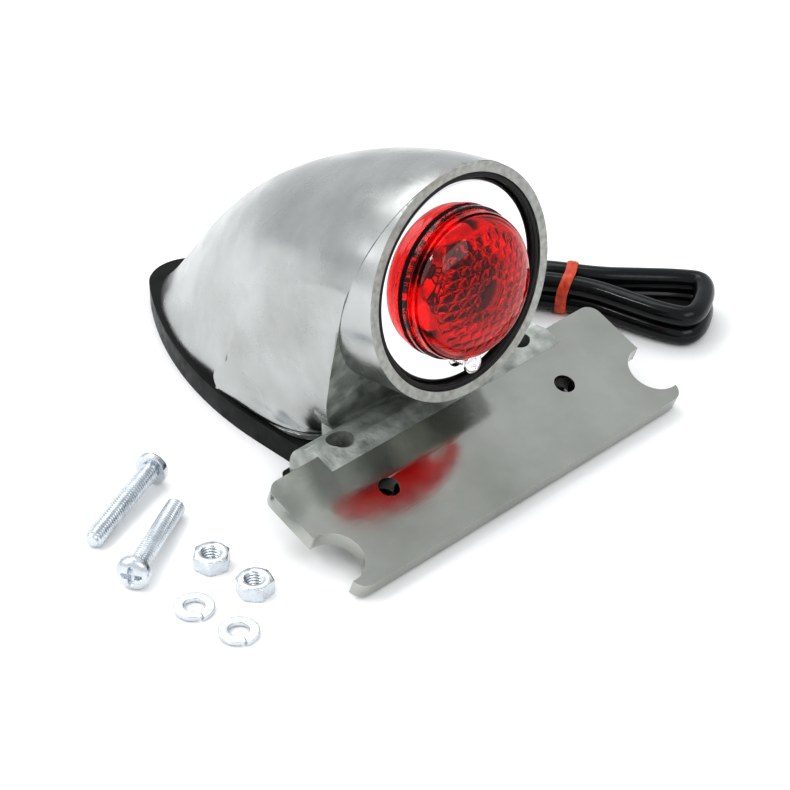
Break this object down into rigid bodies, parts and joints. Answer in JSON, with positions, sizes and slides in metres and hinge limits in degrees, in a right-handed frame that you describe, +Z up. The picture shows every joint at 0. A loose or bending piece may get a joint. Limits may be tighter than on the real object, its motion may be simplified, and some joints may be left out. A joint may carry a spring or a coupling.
{
  "type": "motorcycle tail light",
  "caption": "Round red tail light in a bullet-shaped cast aluminium housing, with a licence plate bracket below it, a rubber base gasket and a tied cable.",
  "frame": {"origin": "midway between the two mounting holes, on the plane that the light stands on", "axes": "+Z up along the mounting holes, -Y the way the lens looks, +X to the right seen from behind the light"},
  "size_m": [0.2345, 0.1709, 0.1008],
  "materials": {
    "cast_aluminium": "polished casting",
    "plate_aluminium": "ground and polished",
    "gasket_rubber": "moulded, slight sheen",
    "seal_rubber": "moulded",
    "bezel_chrome": "mirror chrome",
    "foam_gasket": "foam",
    "lens_red": "clear red moulded lens",
    "screw_chrome": "plated",
    "spring_steel": "plain",
    "reflector_metal": "bright inside",
    "socket_steel": "zinc plated",
    "cap_brass": "drawn brass",
    "cap_insulator": "glassy black insulator",
    "solder": "solder",
    "bulb_glass": "clear glass",
    "filament": "tungsten wire",
    "contact_disc": "phenolic",
    "contact_brass": "bright brass",
    "sleeve_pvc": "glossy black sleeve",
    "wire_red": "insulated wire",
    "wire_yellow": "insulated wire",
    "wire_black": "insulated wire",
    "band_rubber": "red-orange rubber band",
    "zinc_steel": "bright zinc plating"
  },
  "bodies": {
    "lamp": {"housing": "cast_aluminium", "plate_bracket": "plate_aluminium", "base_gasket": "gasket_rubber", "rim_seal": "seal_rubber", "chrome_bezel": "bezel_chrome", "screw_clip": "spring_steel", "reflector": "reflector_metal", "bulb_socket": "socket_steel", "contact_spring": "spring_steel", "lead_sleeve": "sleeve_pvc", "tail_wire": "wire_red", "brake_wire": "wire_yellow", "earth_wire": "wire_black", "lead_hank": "sleeve_pvc", "hank_band": "band_rubber", "tail_wire_end": "wire_red", "brake_wire_end": "wire_yellow", "earth_wire_end": "wire_black", "lead_bullets": "contact_brass"},
    "lens_unit": {"lens": "lens_red", "lens_gasket": "foam_gasket", "lens_screw": "screw_chrome"},
    "bulb": {"bulb_cap": "cap_brass", "cap_insulator": "cap_insulator", "bulb_contacts": "solder", "bulb_glass": "bulb_glass", "bulb_stem": "bulb_glass", "bulb_filaments": "filament"},
    "plunger": {"contact_disc": "contact_disc", "contact_pins": "contact_brass"},
    "screws": {"mounting_screws": "zinc_steel"},
    "nuts": {"mounting_nuts": "zinc_steel"},
    "washers": {"spring_washers": "zinc_steel"}
  },
  "joints": [
    {"name": "lens_off", "type": "slide", "parent": "lamp", "child": "lens_unit", "axis": [0, -0.991, 0.134], "range_m": [0, 0.03]},
    {"name": "bulb_push", "type": "slide", "parent": "lamp", "child": "bulb", "axis": [0, 0.991, -0.134], "range_m": [0, 0.003], "stiffness_N_per_m": 1500, "springref_m": -0.003},
    {"name": "plunger_travel", "type": "slide", "parent": "lamp", "child": "plunger", "axis": [0, 0.991, -0.134], "range_m": [0, 0.003], "deforming": ["contact_spring", "tail_wire", "brake_wire"]},
    {"name": "screws_lift", "type": "slide", "parent": "lamp", "child": "screws", "axis": [0, 0, 1], "range_m": [0, 0.05]},
    {"name": "nuts_lift", "type": "slide", "parent": "lamp", "child": "nuts", "axis": [0, 0, 1], "range_m": [0, 0.05]},
    {"name": "washers_lift", "type": "slide", "parent": "lamp", "child": "washers", "axis": [0, 0, 1], "range_m": [0, 0.05]}
  ],
  "couplings": [
    {"joint": "plunger_travel", "follows": "bulb_push", "ratio": 1}
  ]
}
